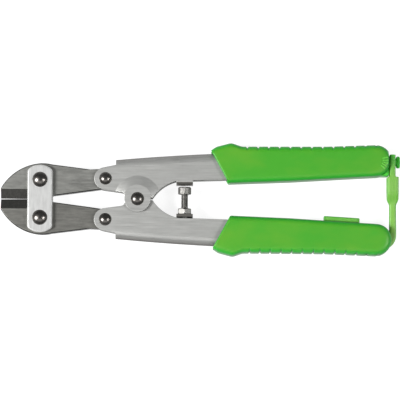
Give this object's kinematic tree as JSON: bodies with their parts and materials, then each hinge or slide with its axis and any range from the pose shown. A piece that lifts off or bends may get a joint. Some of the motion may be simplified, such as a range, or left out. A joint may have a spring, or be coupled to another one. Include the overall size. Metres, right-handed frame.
{
  "type": "bolt cutters",
  "caption": "Small bolt cutters: two blades between link plates, pressed channel handles, stop screw, soft grips and an elastic strap that ties the handles.",
  "frame": {"origin": "centre of the tool's box in plan, on the surface that it lies on", "axes": "+X from the jaws to the grips, +Y towards the upper handle, +Z along the rivets, out of the front"},
  "size_m": [0.2154, 0.0612, 0.0156],
  "materials": {
    "blade_steel": "satin, ground bevels",
    "plate_steel": "bright satin plate",
    "handle_steel": "satin plated sheet",
    "rivet_steel": "polished",
    "screw_steel": "bright zinc",
    "spring_steel": "drawn wire",
    "grip_vinyl": "soft glossy vinyl",
    "strap_elastomer": "soft translucent elastomer"
  },
  "bodies": {
    "link_plates": {"front_link_plate": "plate_steel", "rear_link_plate": "plate_steel", "upper_jaw_rivet": "rivet_steel", "lower_jaw_rivet": "rivet_steel"},
    "upper_jaw": {"upper_blade": "blade_steel"},
    "lower_jaw": {"lower_blade": "blade_steel"},
    "upper_arm": {"upper_handle": "handle_steel", "upper_tail_rivet": "rivet_steel", "centre_rivet": "rivet_steel", "centre_spacer": "screw_steel", "opening_spring": "spring_steel", "upper_grip": "grip_vinyl"},
    "lower_arm": {"lower_handle": "handle_steel", "lower_tail_rivet": "rivet_steel", "lock_nut": "screw_steel", "lower_grip": "grip_vinyl"},
    "screw": {"stop_screw": "screw_steel"},
    "tie": {"strap": "strap_elastomer"}
  },
  "joints": [
    {"name": "upper_handle_pivot", "type": "hinge", "parent": "upper_jaw", "child": "upper_arm", "pos_m": [-0.0513, 0.01105, 0.0076], "axis": [0, 0, 1], "range_deg": [-1.36, 21.28], "deforming": ["opening_spring"]},
    {"name": "upper_jaw_pivot", "type": "hinge", "parent": "link_plates", "child": "upper_jaw", "pos_m": [-0.0865, 0.01025, 0.0076], "axis": [0, 0, 1], "range_deg": [-7.3, 0.48]},
    {"name": "lower_jaw_pivot", "type": "hinge", "parent": "link_plates", "child": "lower_jaw", "pos_m": [-0.0865, -0.01025, 0.0076], "axis": [0, 0, 1], "range_deg": [-0.48, 7.3]},
    {"name": "lower_handle_pivot", "type": "hinge", "parent": "lower_jaw", "child": "lower_arm", "pos_m": [-0.0513, -0.01105, 0.0076], "axis": [0, 0, 1], "range_deg": [-21.3, 1.38]},
    {"name": "stop_screw_slide", "type": "slide", "parent": "lower_arm", "child": "screw", "axis": [0, 1, 0], "range_m": [-0.004, 0]},
    {"name": "strap_swing", "type": "hinge", "parent": "lower_arm", "child": "tie", "pos_m": [0.1032, -0.0236, 0.0076], "axis": [0, 0, 1], "range_deg": [-100, 0], "deforming": ["strap"]}
  ],
  "couplings": [
    {"joint": "upper_jaw_pivot", "follows": "upper_handle_pivot", "ratio": -0.34206},
    {"joint": "lower_jaw_pivot", "follows": "upper_handle_pivot", "ratio": 0.34206},
    {"joint": "lower_handle_pivot", "follows": "upper_handle_pivot", "ratio": -1}
  ]
}
